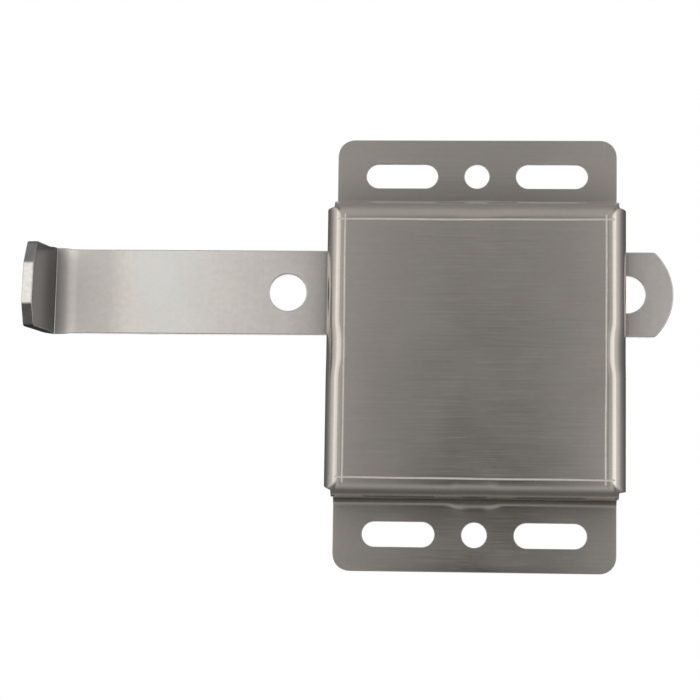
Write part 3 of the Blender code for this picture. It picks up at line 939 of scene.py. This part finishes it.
def scribed_line(name):
    """Freshly cut metal in a scribed line: brighter than the panel, in a broken glint, partly the cut metal's
    own colour and partly a painted highlight.
    """
    material = bpy.data.materials.new(name)
    nodes, shader = shader_of(material)
    flat = nodes.add("UVMap", uv_map="flat").outputs[0]
    breaks = nodes.noise(flat, (34, 34, 1), detail=4, roughness=0.7)
    tone = nodes.ramp(breaks, 0.3, 0.7, 0.9, 1.03)
    nodes.give(shader.inputs["Base Color"], shade(nodes, SCRIBE_COLOUR, tone))
    shader.inputs["Metallic"].default_value = 0.4
    nodes.give(shader.inputs["Roughness"], nodes.ramp(breaks, 0.3, 0.7, 0.62, 0.45))
    bump = nodes.add("Bump", {"Height": breaks, "Strength": 0.6, "Distance": 0.00005})
    nodes.give(shader.inputs["Normal"], bump)
    return material


def turned_steel(name, colour, roughness, scale):
    """Turned or drawn steel: fine rings or draw lines with small bright worn spots."""
    material = bpy.data.materials.new(name)
    nodes, shader = shader_of(material)
    place = nodes.add("TexCoord").outputs["Object"]
    rings = nodes.noise(place, scale, detail=3)
    rubs_and_painted_light = nodes.noise(place, (300, 300, 300), detail=3)
    tone = nodes.maths(
        "ADD",
        nodes.ramp(rings, 0.25, 0.75, 0.9, 1.06, smooth=False),
        nodes.ramp(rubs_and_painted_light, 0.3, 0.7, -0.07, 0.05, smooth=False),
    )
    nodes.give(shader.inputs["Base Color"], shade(nodes, (*colour, 1), tone))
    nodes.give(shader.inputs["Roughness"], nodes.ramp(rubs_and_painted_light, 0.3, 0.7, roughness + 0.06, roughness - 0.06))
    bump = nodes.add("Bump", {"Height": rings, "Strength": 0.3, "Distance": 0.00002})
    nodes.give(shader.inputs["Normal"], bump)
    return material


# --- The object ---------------------------------------------------------------------------------------------

panel_steel = brushed(
    "panel_steel",
    (0.632, 0.585, 0.535),
    0.19,
    along_u=True,
    anisotropy=0.88,
    flecks=0.027,
    clouding=0.016,
    # painted light on the panel's sides and lower right corner
    rubs_and_painted_light=True,
)
panel_edge = sheared("panel_steel_edge", (0.6, 0.57, 0.54), 0.4)
scribe_steel = scribed_line("panel_steel_scribe")
bolt_steel = brushed(
    "bolt_steel",
    (0.88, 0.827, 0.79),
    0.34,
    along_u=False,
    anisotropy=0.7,
    flecks=0.022,
    clouding=0.034,
    # painted light and shade along the bar
    painted_bar_light=True,
)
bolt_edge = sheared("bolt_steel_edge", (0.84, 0.82, 0.79), 0.16, tab=True)
pin_steel = turned_steel("pin_steel", (0.66, 0.65, 0.63), 0.3, (900, 900, 900))
spring_steel = turned_steel("spring_steel", (0.5, 0.49, 0.48), 0.28, (500, 500, 2500))

folded(
    "housing", housing_blank(), housing_shape, "housing",
    [panel_steel, panel_edge, scribe_steel], on_scribe,
)  # fmt: skip
tab_rise = -bolt_low.y - BOLT_MIDDLE - BAR / 2 - BEND_RISE[-1]
bolt_left = TAB_BEND_X - BEND_AT[-1] - tab_rise / math.sin(TAB_SLOPE)
folded(
    "slide_bolt", bolt_blank(bolt_left, bolt_high.x), bolt_shape, "bolt",
    [bolt_steel, bolt_edge],
)  # fmt: skip
headed_pin("spring_drive_pin", DRIVE_PIN_TOP, pin_steel)
headed_pin("open_stop_pin", STOP_PIN_TOP, pin_steel)
headed_pin("closed_stop_pin", STOP_PIN_TOP, pin_steel)
make_stud(pin_steel)
make_retainer(pin_steel)
make_spring(spring_steel)


# --- Stage --------------------------------------------------------------------------------------------------


def make_floor():
    bm = bmesh.new()
    bmesh.ops.create_grid(bm, x_segments=1, y_segments=1, size=1.6)
    mesh = bpy.data.meshes.new("floor")
    bm.to_mesh(mesh)
    bm.free()
    material = bpy.data.materials.new("floor")
    material.use_nodes = True
    nodes = Nodes(material.node_tree)
    seen = nodes.add("LightPath").outputs["Is Camera Ray"]
    clear = nodes.add("BsdfTransparent")
    glow = nodes.add("Emission", {"Color": (0.93, 0.93, 0.92, 1), "Strength": 1.0})
    output = material.node_tree.nodes["Material Output"]
    mixed = nodes.add("MixShader", {0: seen, 1: clear.outputs[0], 2: glow.outputs[0]})
    nodes.give(output.inputs["Surface"], mixed)
    mesh.materials.append(material)
    floor = bpy.data.objects.new("floor", mesh)
    floor.location = (0, 0, FLOOR_Z)
    bpy.context.scene.collection.objects.link(floor)


def make_world():
    """A pale tent round the object, with a dark gap in it for the camera."""
    world = bpy.data.worlds.new("studio")
    world.use_nodes = True
    bpy.context.scene.world = world
    nodes = Nodes(world.node_tree)
    x, y, z = nodes.split(nodes.add("TexCoord").outputs["Generated"])
    turn = nodes.maths("ARCTAN2", x, nodes.maths("MULTIPLY", y, -1.0))
    turn = nodes.maths("DEGREES", nodes.maths("ABSOLUTE", turn))
    rise = nodes.maths("DEGREES", nodes.maths("ARCSINE", z))

    def from_rise(middle):
        return nodes.maths("ABSOLUTE", nodes.maths("SUBTRACT", rise, middle))

    shifted = nodes.maths("ADD", turn, nodes.ramp(x, 0.2, 0.4, 0.0, TENT_RIGHT_TURN))
    total = nodes.through(shifted, TENT_SIDES)
    beside = nodes.ramp(shifted, 14.0, 28.0)
    total = nodes.without(total, nodes.times(beside, nodes.ramp(from_rise(12.0), 22.0, 42.0, 0.0, TENT_FALL)))
    total = nodes.towards(total, TENT_FOOT, nodes.ramp(rise, -80.0, -38.0, 1.0, 0.0))
    total = nodes.towards(total, TENT_TOP, nodes.ramp(rise, 45.0, 85.0))
    middle, fade, end = GAP_HEIGHTS
    gap = nodes.ramp(turn, 0.0, GAP_HALF_WIDTH, GAP_DEPTH, 0.0, smooth=False)
    off = from_rise(middle)
    total = nodes.maths("SUBTRACT", total, nodes.times(gap, nodes.ramp(off, fade, end, 1.0, 0.0)))
    back = nodes.times(nodes.ramp(y, 0.3, 0.6), nodes.ramp(off, 30.0, 50.0, 0.0, TENT_BACK))
    total = nodes.maths("ADD", total, back)
    total = nodes.maths("MAXIMUM", total, nodes.ramp(y, 0.88, 0.96, 0.0, BEHIND))
    colour = nodes.add("CombineColor", {0: total, 1: total, 2: total}).outputs[0]
    lit = nodes.add("Background", {"Color": colour, "Strength": 1.0})
    white = nodes.add("Background", {"Color": (1, 1, 1, 1), "Strength": 1.0})
    seen = nodes.add("LightPath").outputs["Is Camera Ray"]
    mixed = nodes.add("MixShader", {0: seen, 1: lit.outputs[0], 2: white.outputs[0]})
    output = next(node for node in world.node_tree.nodes if node.type == "OUTPUT_WORLD")
    nodes.give(output.inputs["Surface"], mixed)


def make_lights():
    """A tall bank of light either side of the camera."""
    low, high = LIGHT_HEIGHTS
    for first, second, brightness in LIGHTS:
        start, end = (Vector((*edge, (low + high) / 2)) for edge in (first, second))
        if start.x > end.x:
            start, end = end, start
        across = (end - start).normalized()
        facing = Vector((0, 0, 1)).cross(across)
        middle = (start + end) / 2
        data = bpy.data.lights.new("side_light", "AREA")
        data.shape = "RECTANGLE"
        data.size = (end - start).length
        data.size_y = high - low
        data.color = LIGHT_COLOUR
        data.energy = brightness * math.pi * data.size * data.size_y
        light = bpy.data.objects.new("side_light", data)
        columns = (across, Vector((0, 0, 1)), -facing, middle)
        light.matrix_world = Matrix((*zip(*columns), (0, 0, 0, 1)))
        light.visible_camera = False
        bpy.context.scene.collection.objects.link(light)


def make_camera():
    data = bpy.data.cameras.new("camera")
    data.lens = CAMERA_LENS
    data.sensor_width = 36
    data.clip_start = 0.01
    data.shift_x, data.shift_y = CAMERA_SHIFT
    camera = bpy.data.objects.new("camera", data)
    bpy.context.scene.collection.objects.link(camera)
    camera.location = CAMERA_PLACE
    camera.rotation_euler = CAMERA_TURN
    bpy.context.scene.camera = camera


make_floor()
make_world()
make_lights()
make_camera()
bpy.context.scene.view_settings.view_transform = "Standard"
